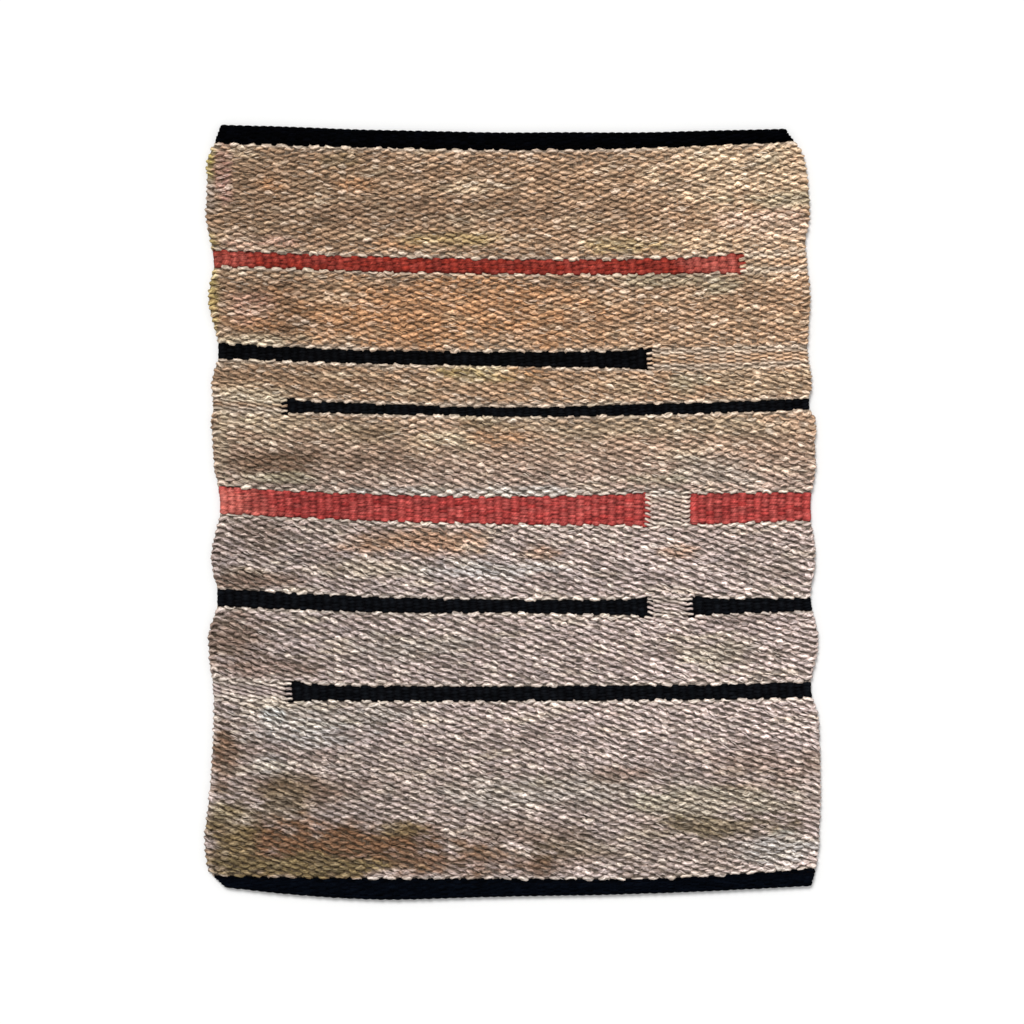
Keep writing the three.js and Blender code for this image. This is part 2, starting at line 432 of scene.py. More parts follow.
def weave(name, yarn, course, numbers, first=0, last=WARPS - 1, lean=0.0, shared=(False, False)):
    """A length of yarn that goes to and fro between the warps first and last, one pick for each
    of numbers. course gives the cloth's middle layer for the places along every pick and an
    inset from the selvedges. shared says at which ends the last warp is another yarn's too."""
    yarn = YARNS[yarn]
    picks = len(numbers)
    insets = [yarn["inset"] * early for early in shared]
    places, rises = pick_places(first, last, yarn["bend"], insets)
    a = np.broadcast_to(places, (picks, len(places)))
    pick = np.arange(picks)[:, None]
    x, y, z, turn = course(a, yarn["height"] * MM)
    pitch = np.hypot(np.gradient(y, axis=0), np.gradient(z, axis=0))
    side = np.where(numbers[:, None] % 2, -1.0, 1.0)

    # Each pick drifts to the one that it turns back as, and a shared warp is reached early
    east_mate = pick ^ 1
    west_mate = ((pick + 1) ^ 1) - 1
    hold = np.zeros_like(a)
    for mate, distance, early in (
        (east_mate, last + 0.5 - a, shared[1]),
        (west_mate, a - first - 0.5, shared[0]),
    ):
        real = (mate >= 0) & (mate < picks)
        mate = np.where(real, mate, pick)[:, 0]
        reach = np.clip((0.5 - distance) / 0.5, 0, 1) if early else np.clip(-distance / 0.5, 0, 1)
        share = 0.5 * smooth_step(reach, 0, 1)
        y = y + share * (y[mate] - y)
        z = z + share * (z[mate] - z)
        turn = turn + share * (turn[mate] - turn)
        hold = np.maximum(hold, reach if early else 0)

    # Unevenness: slubs, floats that stand aside or slant, dives a little early or late, and light
    # and dark floats
    number = numbers[:, None] + 0 * a
    warp = np.clip(np.floor(a), first, last)
    over = np.abs(rises)
    stray = yarn["stray"] * MM
    slub = SLUB_SHARES[0] * uneven("slub", a, number)
    slub = yarn["slub"] * (slub + SLUB_SHARES[1] * uneven("fine_slub", a, number))
    slant = SLANT * 2 * (a - warp - 0.5) * uneven("slant", warp, number)
    aside = uneven("aside", warp, number) * over + slant
    early = uneven("crossing", np.rint(a), number) * (1 - np.abs(np.sin(math.pi * a)))
    early[:, :RIM_PLACES] *= RIM_STRAY
    early[:, -RIM_PLACES:] *= RIM_STRAY
    x = x + early * stray * CROSSING_STRAY
    y = y + aside * stray + ROW_STRAY * uneven("row", a, number)
    tone = TONE_SHARES[0] * uneven("tone", warp, number)
    tone = tone + TONE_SHARES[1] * uneven("slow_tone", a, number)

    height = yarn["height"] * MM * (1 + SLUB_HEIGHT * slub)
    width = (yarn["dive"] + (yarn["crown"] - yarn["dive"]) * over**2) * pitch * (1 + slub)
    width = width + (yarn["loop"] * pitch - width) * hold
    sinking = SINKING * (uneven("sinking", warp, number) - 1)
    rise = yarn["rise"] * MM * side * rises * (1 + sinking)
    rise = rise + yarn["lift"] * MM * (1 - over)
    y = y + lean * MM * side * np.cos(math.pi * a)
    middles = np.stack([x, y - rise * np.sin(turn), z + rise * np.cos(turn)], -1)
    sideways = np.stack([0 * x, np.cos(turn), np.sin(turn)], -1)

    # End to end, to and fro, without the turns' second copies
    def joined(values):
        values = values.copy()
        values[1::2] = values[1::2, ::-1]
        values[:-1, -1] = (values[:-1, -1] + values[1:, 0]) / 2
        rest = values[1:, 1:]
        return np.concatenate([values[0], rest.reshape(-1, *rest.shape[2:])])

    return tube(name, yarn["sides"], *map(joined, (middles, sideways, width, height, tone)))


def tube(name, sides, middles, sideways, width, height, tone):
    """A closed tube along the points in middles, with an oval section, as a new piece."""
    # A blunt point closes each end
    along = np.gradient(middles, axis=0)
    along /= np.linalg.norm(along, axis=1, keepdims=True)
    sideways = sideways - (sideways * along).sum(1, keepdims=True) * along
    sideways /= np.linalg.norm(sideways, axis=1, keepdims=True)
    outward = np.cross(along, sideways)
    width, height = width.copy(), height.copy()
    width[[0, -1]] = 0
    height[[0, -1]] = 0
    angles = 2 * math.pi * np.arange(sides + 1) / sides - math.pi / 2
    angles[-1] = angles[0]
    skin = (
        middles[:, None]
        + (width[:, None] * np.cos(angles))[..., None] * sideways[:, None]
        + (height[:, None] * np.sin(angles))[..., None] * outward[:, None]
    )
    skin[..., 2] = np.maximum(skin[..., 2], 0)  # pressed flat on the floor
    length = np.concatenate([[0], np.cumsum(np.linalg.norm(np.diff(middles, axis=0), axis=1))])

    mesh, ring, corner = grid_mesh(name, skin)
    mark_points(mesh, "tone", tone[ring])
    map_yarn(mesh, length[ring], corner / sides)
    return closed_piece(name, mesh)


def points_of(mesh):
    """Where the points of a mesh are."""
    flat = np.empty(3 * len(mesh.vertices), np.float32)
    mesh.vertices.foreach_get("co", flat)
    return flat.reshape(-1, 3).astype(float)


def grid_mesh(name, places):
    """A mesh whose points form a grid over places, and the row and column of each point."""
    rows, columns = places.shape[:2]
    shape = bmesh.new()
    bmesh.ops.create_grid(shape, x_segments=rows - 1, y_segments=columns - 1, size=1)
    mesh = bpy.data.meshes.new(name)
    shape.to_mesh(mesh)
    shape.free()
    x, y, _ = points_of(mesh).T
    row = np.rint((x + 1) / 2 * (rows - 1)).astype(int)
    column = np.rint((y + 1) / 2 * (columns - 1)).astype(int)
    mesh.vertices.foreach_set("co", places[row, column].astype(np.float32).ravel())
    return mesh, row, column


def mark_points(mesh, name, values):
    """Gives each point of a mesh a number, or a colour, as a named attribute."""
    kind, field = ("FLOAT", "value") if values.ndim == 1 else ("FLOAT_COLOR", "color")
    attribute = mesh.attributes.new(name, kind, "POINT")
    attribute.data.foreach_set(field, values.astype(np.float32).ravel())


def map_yarn(mesh, along, around):
    """The UV map of a yarn, from the place of each point along it and around it."""
    used = np.empty(len(mesh.loops), np.int32)
    mesh.loops.foreach_get("vertex_index", used)
    uv = np.stack([along[used], around[used]], 1)
    mesh.uv_layers.new(name="yarn").data.foreach_set("uv", uv.astype(np.float32).ravel())


def closed_piece(name, mesh):
    """The piece of a mesh whose seams are merged and whose faces point outwards."""
    shape = bmesh.new()
    shape.from_mesh(mesh)
    bmesh.ops.remove_doubles(shape, verts=shape.verts, dist=MERGED)
    bmesh.ops.recalc_face_normals(shape, faces=shape.faces)
    shape.to_mesh(mesh)
    shape.free()
    mesh.shade_smooth()
    return linked(name, mesh)


# The cloth's pieces

FIRST_PICKS = first_picks()
SHARED_ENDS = shared_ends()
LAYER_ROW = 16.0 * MM  # about as long as a row of the warp layer's faces
LAYER_BAND_ROWS = (0.0, 0.35, 0.7, 1.0, 1.25, 1.5, 1.75, 2.0, 2.5, 3.0)  # stages in a band
LAYER_MARGIN = 0.02  # the share of a section that its rows leave free at either side
LAYER_INSET = 1.5 * MM  # from the selvedges


def warp_layer():
    """The layer of warp cords that the weft hides: ribbed, and turned under at both ends."""
    rows = [(0, stage) for stage in reversed(LAYER_BAND_ROWS)]
    for section in range(1, len(SECTIONS) - 1):
        count = max(1, round(depth_of(section) / LAYER_ROW))
        shares = np.linspace(LAYER_MARGIN, 1 - LAYER_MARGIN, count + 1)
        rows += [(section, share) for share in shares]
    rows += [(len(SECTIONS) - 1, stage) for stage in LAYER_BAND_ROWS]

    warp = np.arange(2 * WARPS + 1) / 2
    layers = []
    dyed = []
    for section, share in rows:
        yarn = SECTIONS[section]["yarn"]
        course = in_band if yarn == "hem" else in_section
        layers.append(np.stack(course(section, share, warp, inset=LAYER_INSET)))
        covered = np.zeros(len(warp)) + (yarn == "hem")
        for first, last in SECTIONS[section].get("spans", []):
            covered[(warp >= first) & (warp <= last + 1)] = -1 if yarn == "red" else 1
        dyed.append(covered)
    x, y, z, turn = np.stack(layers, 1)
    up = np.stack([0 * turn, -np.sin(turn), np.cos(turn)], -1)
    thick = VALLEY_RISE + (CORD_RISE - VALLEY_RISE) * np.abs(np.sin(math.pi * warp))
    top = np.stack([x, y, z], -1) + up * thick[:, None]

    mesh, row, column = grid_mesh("warp_layer", top)
    mark_points(mesh, "dyed", np.array(dyed)[row, column])
    shape = bmesh.new()
    shape.from_mesh(mesh)
    bmesh.ops.solidify(shape, geom=shape.faces[:], thickness=2 * VALLEY_RISE)
    shape.to_mesh(mesh)
    shape.free()
    return closed_piece("warp_layer", mesh)


def sliver_places(chance):
    """The middle and the slant of each sliver, over jute floats that are on top."""
    fields = [i for i, section in enumerate(SECTIONS) if section["yarn"] == "jute"]
    depths = np.array([depth_of(i) for i in fields])
    middles, slants = [], []
    for field, count in zip(fields, np.rint(SLIVERS * depths / depths.sum()).astype(int)):
        picks = picks_of(field)
        pick = chance.integers(1, picks - 1, count)
        column = chance.integers(1, WARPS - 1, count)
        column += (FIRST_PICKS[field] + pick + column) % 2  # where that pick is on top
        share = (pick + 0.5 + SLIVER_STRAY[1] * chance.uniform(-1, 1, count)) / picks
        warp = column + 0.5 + SLIVER_STRAY[0] * chance.uniform(-1, 1, count)
        middle = in_section(field, share, np.minimum(warp, SLIVER_LAST))[:3]
        middles.append(np.stack(middle, 1))
        slope = -field_lean(field, share) / SLIVER_RUN
        slants.append(np.arctan(slope) + np.radians(SLIVER_SLANT) * chance.uniform(-1, 1, count))
    return np.concatenate(middles), np.concatenate(slants)


def loose_slivers():
    """Slivers of fibre lying loose over the jute floats, each a pointed tube, as one piece."""
    chance = np.random.default_rng(SLIVER_SEED)
    middle, slant = sliver_places(chance)
    count = len(middle)

    # The middle of each ring, from one point to the other
    reach = np.linspace(-1, 1, SLIVER_RINGS)
    half = chance.uniform(*SLIVER_LENGTH, count) * MM / 2
    narrow, wide = SLIVER_WIDTH
    width = (narrow + (wide - narrow) * chance.random(count) ** 2) * MM / 2
    bow = chance.uniform(-SLIVER_BOW, SLIVER_BOW, count)
    heading = np.stack([np.cos(slant), np.sin(slant)], 1)
    across = np.stack([-heading[:, 1], heading[:, 0]], 1)
    along = (reach * half[:, None])[..., None] * heading[:, None]
    aside = ((1 - reach**2) * (bow * half)[:, None])[..., None] * across[:, None]
    spine = np.zeros((count, SLIVER_RINGS, 3))
    spine[..., :2] = middle[:, None, :2] + along + aside
    top = SLIVER_TOP * MM + chance.uniform(*SLIVER_SINK, count) * MM
    dip = SLIVER_DIP * MM * reach**2 * half[:, None] / half.max()
    spine[..., 2] = (middle[:, 2] + top)[:, None] - dip

    # The rings, each with its first corner again at its end
    girth = width[:, None] * np.sqrt(1 - reach**2)
    angles = 2 * math.pi * np.arange(SLIVER_SIDES + 1) / SLIVER_SIDES + math.pi / 6
    angles[-1] = angles[0]
    skin = spine[:, :, None] + 0 * angles[:, None]
    spread = girth[..., None] * np.cos(angles)
    skin[..., :2] += spread[..., None] * across[:, None, None]
    skin[..., 2] += SLIVER_FLATNESS * girth[..., None] * np.sin(angles)
    skin = skin.reshape(-1, SLIVER_SIDES + 1, 3)

    mesh, ring, corner = grid_mesh("loose_slivers", skin)
    tone = np.repeat(chance.uniform(-1, 1, count), SLIVER_RINGS)
    mark_points(mesh, "tone", tone[ring])
    map_yarn(mesh, spine[..., 0].ravel()[ring], corner % SLIVER_SIDES / SLIVER_SIDES)

    # The faces from one sliver to the next are taken out
    shape = bmesh.new()
    shape.from_mesh(mesh)
    sliver = ring // SLIVER_RINGS
    bridges = [
        face for face in shape.faces if len({int(sliver[vert.index]) for vert in face.verts}) > 1
    ]
    bmesh.ops.delete(shape, geom=bridges, context="FACES")
    shape.to_mesh(mesh)
    shape.free()
    return closed_piece("loose_slivers", mesh)


def fields_and_bars():
    """All the weft, as one piece for each length of yarn, with the kind of each."""
    made = []
    for index, section in enumerate(SECTIONS):
        if section["yarn"] == "hem":
            made.append((hem_weft(index), "band"))
        elif section["yarn"] == "jute":
            made += jute_field(index)
        else:
            made += bar_section(index)
    return made


def jute_field(index):
    """The jute of one field, in one length or more."""
    picks = picks_of(index)
    lengths = math.ceil(picks / MOST_PICKS)
    starts = [round(i * picks / lengths) for i in range(lengths + 1)]
    made = []
    for i in range(lengths):
        numbers = np.arange(starts[i], starts[i + 1])
        share = (numbers[:, None] + 0.5) / picks
        from_edge = np.minimum(share, 1 - share) * depth_of(index)
        ending = "" if lengths == 1 else f"_{i + 1}"
        piece = weave(
            f"{SECTIONS[index]['name']}_jute{ending}",
            "jute",
            partial(in_section, index, share),
            FIRST_PICKS[index] + numbers,
            lean=field_lean(index, share) * smooth_step(from_edge, 0, LEAN_FADE * MM),
        )
        made.append((piece, "jute"))
    return made


def bar_section(index):
    """The bars of one section, and the jute that fills the rest of its width."""
    section = SECTIONS[index]
    numbers = np.arange(section["picks"])
    share = (numbers[:, None] + 0.5) / section["picks"]
    slits = section.get("slits", [])
    lengths = []
    west = 0
    for first, last in section["spans"]:
        if first > 0:
            lengths.append(("fill", "jute", west, first - 1 if first - 1 in slits else first))
        lengths.append((section["yarn"], section["yarn"], first, last))
        west = last
    if west < WARPS - 1:
        lengths.append(("fill", "jute", west, WARPS - 1))
    lean = FILL_LEAN * SECTIONS[index - 1]["lean"][1]
    ends = {end for shared_section, end in SHARED_ENDS if shared_section == index}
    made = []
    for count, (yarn, kind, first, last) in enumerate(lengths, start=1):
        piece = weave(
            f"{section['name']}_{kind}_{count}",
            yarn,
            partial(in_section, index, share),
            FIRST_PICKS[index] + numbers,
            first,
            last,
            lean=lean if yarn == "fill" else 0.0,
            shared=(first in ends, last in ends),
        )
        made.append((piece, kind))
    return made


def hem_weft(index):
    """The weft of an end band, over the top, round the fold and back beneath."""
    stages = np.concatenate([
        part + (np.arange(count) + 0.5) / count for part, count in enumerate(HEM_PICKS)
    ])[:, None]
    numbers = FIRST_PICKS[index] + np.arange(len(stages)) + (1 if index == 0 else 0)
    name = f"{SECTIONS[index]['name']}_weft"
    return weave(name, "hem", partial(in_band, index, stages), numbers)


# Materials


class Nodes:
    """Adds nodes to a material or group, with values or sockets for their inputs."""

    def __init__(self, tree):
        self.tree = tree

    def add(self, kind, inputs=(), **settings):
        node = self.tree.nodes.new(kind)
        for key, value in settings.items():
            setattr(node, key, value)
        for key, value in dict(inputs).items():
            self.put(node.inputs[key], value)
        return node

    def put(self, socket, value):
        if isinstance(value, bpy.types.NodeSocket):
            self.tree.links.new(value, socket)
        else:
            socket.default_value = value

    def math(self, operation, *values, clamp=False):
        node = self.add("ShaderNodeMath", enumerate(values), operation=operation, use_clamp=clamp)
        return node.outputs[0]

    def product(self, first, second, clamp=False):
        return self.math("MULTIPLY", first, second, clamp=clamp)

    def mix(self, factor, first, second, blend="MIX"):
        node = self.add("ShaderNodeMix", data_type="RGBA", blend_type=blend)
        for key, value in zip((0, 6, 7), (factor, first, second)):
            self.put(node.inputs[key], value)
        return node.outputs[2]

    def spread(self, value, low, high, to_low=0.0, to_high=1.0):
        inputs = enumerate((value, low, high, to_low, to_high))
        node = self.add("ShaderNodeMapRange", inputs, interpolation_type="SMOOTHSTEP")
        return node.outputs["Result"]

    def noise(self, place, scale, detail=2.0, roughness=0.5):
        inputs = {"Vector": place, "Scale": scale, "Detail": detail, "Roughness": roughness}
        return self.add("ShaderNodeTexNoise", inputs).outputs["Fac"]

    def times(self, color, value):
        """A colour times a grey value."""
        grey = self.add("ShaderNodeCombineColor", {0: value, 1: value, 2: value}).outputs[0]
        return self.mix(1.0, color, grey, "MULTIPLY")

    def attribute(self, name):
        return self.add("ShaderNodeAttribute", attribute_name=name).outputs

    def finish(self, shader, color, height, strength, distance):
        """Gives the surface its colour and its bumps, which are distance high."""
        inputs = {"Strength": strength, "Distance": distance, "Height": height}
        self.put(shader.inputs["Base Color"], color)
        self.put(shader.inputs["Normal"], self.add("ShaderNodeBump", inputs).outputs[0])

    def stretched(self, place, scale):
        inputs = {"Vector": place, "Scale": scale}
        return self.add("ShaderNodeMapping", inputs).outputs["Vector"]


def new_group(name, inputs, outputs):
    """An empty shader node group with named inputs and outputs."""
    tree = bpy.data.node_groups.new(name, "ShaderNodeTree")
    for label, kind, value in inputs:
        socket = tree.interface.new_socket(label, in_out="INPUT", socket_type=kind)
        socket.default_value = value
    for label, kind in outputs:
        tree.interface.new_socket(label, in_out="OUTPUT", socket_type=kind)
    nodes = Nodes(tree)
    return tree, nodes, nodes.add("NodeGroupInput").outputs, nodes.add("NodeGroupOutput").inputs


FLOAT = "NodeSocketFloat"
VECTOR = "NodeSocketVector"
FIBRE_STRETCH = 9.0  # the length of a fibre for its size
FIBRES_AROUND = 2.0  # how closely they lie round the yarn


def yarn_group():
    """Two plies twisted round each other, the fibres along them, and the crown of the yarn, where
    the painted highlight falls.
    """
    tree, nodes, given, result = new_group(
        "twisted_yarn",
        [
            ("Yarn", VECTOR, (0, 0, 0)),
            ("Lay", FLOAT, 0.011),
            ("Fibre Size", FLOAT, 0.001),
            ("Wander", FLOAT, 0.0),
            ("Wander Length", FLOAT, 0.006),
        ],
        [("Ply", FLOAT), ("Fibre", FLOAT), ("Painted_Highlight", FLOAT)],
    )
    split = nodes.add("ShaderNodeSeparateXYZ", {0: given["Yarn"]})
    turns = nodes.math("DIVIDE", split.outputs["X"], given["Lay"])
    around = split.outputs["Y"]
    phase = nodes.math("ADD", turns, nodes.product(around, 2.0))
    ply = nodes.math("ABSOLUTE", nodes.math("SINE", nodes.product(phase, math.pi)))
    nodes.put(result["Ply"], ply)
    angle = nodes.product(around, 2 * math.pi)
    skew = nodes.math("ADD", angle, nodes.product(turns, math.pi))
    fibre_length = nodes.product(given["Fibre Size"], FIBRE_STRETCH)
    place = nodes.add("ShaderNodeCombineXYZ", {
        0: nodes.math("DIVIDE", split.outputs["X"], fibre_length),
        1: nodes.product(nodes.math("COSINE", skew), FIBRES_AROUND),
        2: nodes.product(nodes.math("SINE", skew), FIBRES_AROUND),
    })
    nodes.put(result["Fibre"], nodes.noise(place.outputs[0], 1.0, 3.0, 0.6))
    # The crown, where the painted highlight falls, wanders round the yarn along its length
    run = nodes.math("DIVIDE", split.outputs["X"], given["Wander Length"])
    drift = nodes.noise(nodes.add("ShaderNodeCombineXYZ", {0: run}).outputs[0], 1.0)
    drift = nodes.product(nodes.math("SUBTRACT", drift, 0.5), given["Wander"])
    upright = nodes.math("COSINE", nodes.math("ADD", angle, drift))
    nodes.put(result["Painted_Highlight"], nodes.product(upright, upright))
    return tree


def painted_shade_group():
    """How far a point stands out of the cloth, on either face: 0 deep in it and 1 on top. It is
    the mask for the painted shade deep in the cloth and the painted highlight on top.
    """
    tree, nodes, given, result = new_group(
        "painted_shade_depth",
        [("Place", VECTOR, (0, 0, 0)), ("Deep", FLOAT, 0.0), ("Top", FLOAT, 0.003)],
        [("Out", FLOAT)],
    )
    height = nodes.add("ShaderNodeSeparateXYZ", {0: given["Place"]}).outputs["Z"]
    off = nodes.math("ABSOLUTE", nodes.math("SUBTRACT", height, MID_HEIGHT))
    nodes.put(result["Out"], nodes.spread(off, given["Deep"], given["Top"]))
    return tree


def group_node(nodes, tree, **inputs):
    """A group placed in a material. An input's name has _ for each space."""
    node = nodes.add("ShaderNodeGroup")
    node.node_tree = tree
    for key, value in inputs.items():
        nodes.put(node.inputs[key.replace("_", " ")], value)
    return node.outputs


def new_material(name, roughness, sheen, gloss=0.12):
    """A material's nodes and its surface shader."""
    material = bpy.data.materials.new(name)
    material.use_nodes = True
    nodes = Nodes(material.node_tree)
    shader = material.node_tree.nodes["Principled BSDF"]
    for key, value in (
        ("Roughness", roughness),
        ("Specular IOR Level", gloss),
        ("Sheen Weight", sheen),
        ("Sheen Roughness", 0.5),
    ):
        nodes.put(shader.inputs[key], value)
    return material, nodes, shader


# The jute's colours, for its warm far end and its greyer near end
JUTE_FAR = (0.575, 0.38, 0.245, 1)
JUTE_NEAR = (0.65, 0.54, 0.52, 1)
JUTE_PALE = (0.86, 0.78, 0.68, 1)

# The painted light of each yarn, as factors on its colour: painted shade deep in the cloth and a
# painted highlight on top of it
JUTE_PAINTED_LIGHT = ((0.80, 0.75, 0.70, 1), (1.55, 1.53, 1.50, 1))
SLIVER_PAINTED_LIGHT = ((0.6, 0.55, 0.5, 1), (1.4, 1.38, 1.35, 1))
FINE_PAINTED_LIGHT = ((0.57, 0.48, 0.47, 1), (0.97, 0.96, 0.95, 1))

# The bundles of fibre that were spun in by turns, each with the share of pale fibre left in it
TINTS = {
    "orange": (0.68, 0.37, 0.19, 0.9),
    "rust": (0.25, 0.135, 0.075, 0.1),
    "umber": (0.24, 0.15, 0.10, 0.2),
    "olive": (0.235, 0.18, 0.09, 0.15),
    "peach": (0.95, 0.72, 0.50, 1),
    "rose": (0.86, 0.63, 0.56, 1),
    "dun": (0.45, 0.37, 0.33, 0.8),
    "yellow": (0.56, 0.46, 0.16, 1),
    "cream": (0.78, 0.68, 0.50, 1),
    "green": (0.52, 0.48, 0.34, 1),
    "grey": (0.56, 0.52, 0.47, 1),
    "pink": (0.64, 0.38, 0.32, 1),
    "white": (0.74, 0.76, 0.76, 1),
    "washed": (0.80, 0.22, 0.17, 1),
    "deep": (0.36, 0.032, 0.030, 0.5),
}

# The raggedness of the patches' edges: for each layer of it a seed, length, depth and strength
RAGGEDNESS = [
    (41, 34 * MM, 11 * MM, 0.45),
    (42, 15 * MM, 5 * MM, 0.3),
    (43, 7 * MM, 3.2 * MM, 0.25),
]

# Where they fade out and in, for their half sizes
PATCH_FADE = (1.5, 0.6)

# Where they show, in millimetres: middle X and Y, half length, half depth, tint and strength
PATCHES = [
    (-302, 350, 7, 18, "yellow", 0.9),
    (-303, 318, 7, 16, "dun", 0.7),
    (-302, 270, 7, 12, "yellow", 0.6),
    (-302, 208, 7, 38, "yellow", 0.7),
    (-289, 342, 8, 26, "pink", 0.95),
    (-80, 300, 200, 13, "umber", 0.38),
    (-240, 327, 16, 8, "orange", 0.7),
    (-156, 327, 18, 7, "orange", 0.6),
    (-175, 352, 22, 7, "olive", 0.5),
    (235, 344, 78, 34, "peach", 0.9),
    (-290, 352, 7, 18, "rust", 0.5),
    (258, 352, 24, 9, "cream", 0.6),
    (262, 312, 40, 7, "green", 0.6),
    (262, 284, 46, 14, "rose", 0.7),
    (30, 228, 110, 9, "umber", 0.4),
    (190, 268, 40, 9, "peach", 0.7),
    (258, 276, 50, 16, "peach", 0.6),
    (-110, 268, 26, 6, "orange", 0.5),
    (-62, 272, 42, 7, "yellow", 0.4),
    (110, 267, 34, 7, "yellow", 0.4),
    (-240, 270, 40, 7, "pink", 0.5),
    (-70, 203, 150, 32, "orange", 0.85),
    (-232, 208, 26, 30, "rust", 0.55),
    (-262, 196, 22, 14, "orange", 0.5),
    (-265, 205, 20, 12, "pink", 0.5),
    (-260, 172, 40, 6, "cream", 0.6),
    (150, 232, 45, 7, "green", 0.6),
    (213, 226, 16, 7, "green", 0.6),
    (-30, 139, 45, 6, "yellow", 0.5),
    (15, 140, 22, 5, "orange", 0.7),
    (-262, 117, 36, 7, "cream", 0.6),
    (170, 127, 20, 9, "green", 0.6),
    (250, 130, 50, 12, "cream", 0.35),
    (-60, 72, 26, 9, "cream", 0.6),
    (-86, 68, 26, 9, "peach", 0.4),
    (-230, 88, 60, 8, "cream", 0.4),
    (-290, 66, 8, 34, "cream", 0.4),
    (-12, 76, 34, 8, "orange", 0.6),
    (-30, 88, 22, 6, "olive", 0.5),
    (-142, 78, 22, 9, "olive", 0.4),
    (150, 84, 150, 10, "green", 0.35),
    (-240, 50, 44, 11, "umber", 0.95),
    (-160, 52, 60, 6, "umber", 0.5),
    (-232, 34, 36, 5, "green", 0.6),
    (200, 44, 38, 14, "grey", 0.5),
    (130, 33, 36, 5, "green", 0.5),
    (10, 21, 115, 4, "white", 0.55),
    (-246, -24, 22, 16, "umber", 0.4),
    (-98, -28, 66, 13, "orange", 0.65),
    (-134, -26, 30, 9, "umber", 0.45),
    (-266, -68, 52, 8, "umber", 0.75),
    (30, -40, 16, 6, "orange", 0.5),
    (168, -40, 18, 6, "orange", 0.5),
    (-160, -56, 60, 8, "cream", 0.45),
    (-25, -58, 60, 8, "white", 0.5),
    (-276, -124, 28, 20, "umber", 0.7),
    (-246, -157, 44, 8, "rust", 0.45),
    (-96, -136, 66, 11, "grey", 0.6),
    (205, -141, 42, 14, "green", 0.5),
    (-200, -205, 90, 12, "grey", 0.6),
    (-241, -202, 12, 6, "white", 0.8),
    (-243, -252, 16, 9, "white", 0.55),
    (-289, -243, 13, 32, "rust", 0.9),
    (-272, -236, 24, 16, "umber", 0.45),
    (-291, -318, 8, 9, "pink", 0.7),
    (0, -285, 420, 40, "dun", 0.35),
    (130, -338, 150, 22, "dun", 0.7),
    (262, -284, 40, 20, "dun", 0.5),
    (262, -48, 40, 14, "dun", 0.5),
    (-205, -222, 60, 12, "white", 0.4),
    (-292, -298, 8, 12, "cream", 0.7),
    (-222, -280, 46, 13, "umber", 0.6),
    (-228, -290, 26, 19, "olive", 0.6),
    (-140, -276, 60, 10, "umber", 0.25),
    (30, -281, 120, 14, "grey", 0.6),
    (200, -290, 70, 12, "green", 0.5),
    (252, -252, 46, 17, "rust", 0.5),
    (112, -262, 24, 7, "rust", 0.45),
    (-194, -337, 112, 27, "rust", 1.0),
    (-80, -349, 96, 15, "rust", 0.9),
    (30, -349, 60, 9, "umber", 0.55),
    (-282, -325, 24, 34, "olive", 0.8),
    (-200, -353, 90, 10, "olive", 0.9),
    (-114, -316, 22, 7, "olive", 0.7),
    (10, -322, 60, 12, "umber", 0.4),
    (60, -338, 34, 8, "olive", 0.4),
    (212, -315, 66, 8, "olive", 0.75),
    (272, -341, 36, 14, "white", 0.5),
]

# Where the red is washed out or deeper, in the same way
RED_PATCHES = [
    (-276, 6, 36, 18, "washed", 0.8),
    (-205, 10, 55, 11, "deep", 0.7),
    (-110, 8, 50, 9, "deep", 0.4),
    (205, 4, 22, 16, "deep", 0.45),
    (-283, 251, 18, 10, "washed", 0.3),
    (205, 248, 34, 12, "washed", 0.45),
]

# For each kind of yarn: its colour at the far and near ends, Y from which it turns to the near
# one and by which it has, and its patches
COLORING = {
    "jute": (JUTE_FAR, JUTE_NEAR, (0.13, -0.06), PATCHES),
    "loose": (JUTE_FAR, JUTE_NEAR, (0.13, -0.06), PATCHES),
    "red": ((0.36, 0.032, 0.016, 0.45), (0.54, 0.058, 0.052, 1), (0.2, 0.05), RED_PATCHES),
    "black": ((0.0014, 0.0014, 0.0016, 1), (0.0040, 0.0050, 0.0070, 1), (0.2, 0.05), []),
    "band": ((0.0004, 0.0004, 0.0005, 1), (0.0012, 0.0022, 0.0045, 1), (0.2, 0.05), []),
}

# The jute beside the bars and bands is paler: its colour there, how far in it is all so and by
# where it isn't, in millimetres, and how strongly
EDGE_TINT = (0.83, 0.76, 0.67, 1)
EDGE_RUN = (2.2, 4.6)
EDGE_STRENGTH = 0.5

EAST_PAINTED_LIGHT = 0.22  # how much paler the jute is painted at the east selvedge, and darker at the west: painted light, brighter on the east side
HALF_WIDTH = 300 * MM


def beside_bars(x, y):
    """1 beside a bar or band and 0 away from it."""
    west, east = SELVEDGES[:, WEST].mean() * MM, SELVEDGES[:, EAST].mean() * MM
    warp = np.clip((x - west) / (east - west), 0, 1) * WARPS
    lines = range(1, len(SECTIONS))
    nearest = np.min([np.abs(y - line_y(line, warp)) for line in lines], axis=0)
    return smooth_step(nearest / MM, EDGE_RUN[1], EDGE_RUN[0])


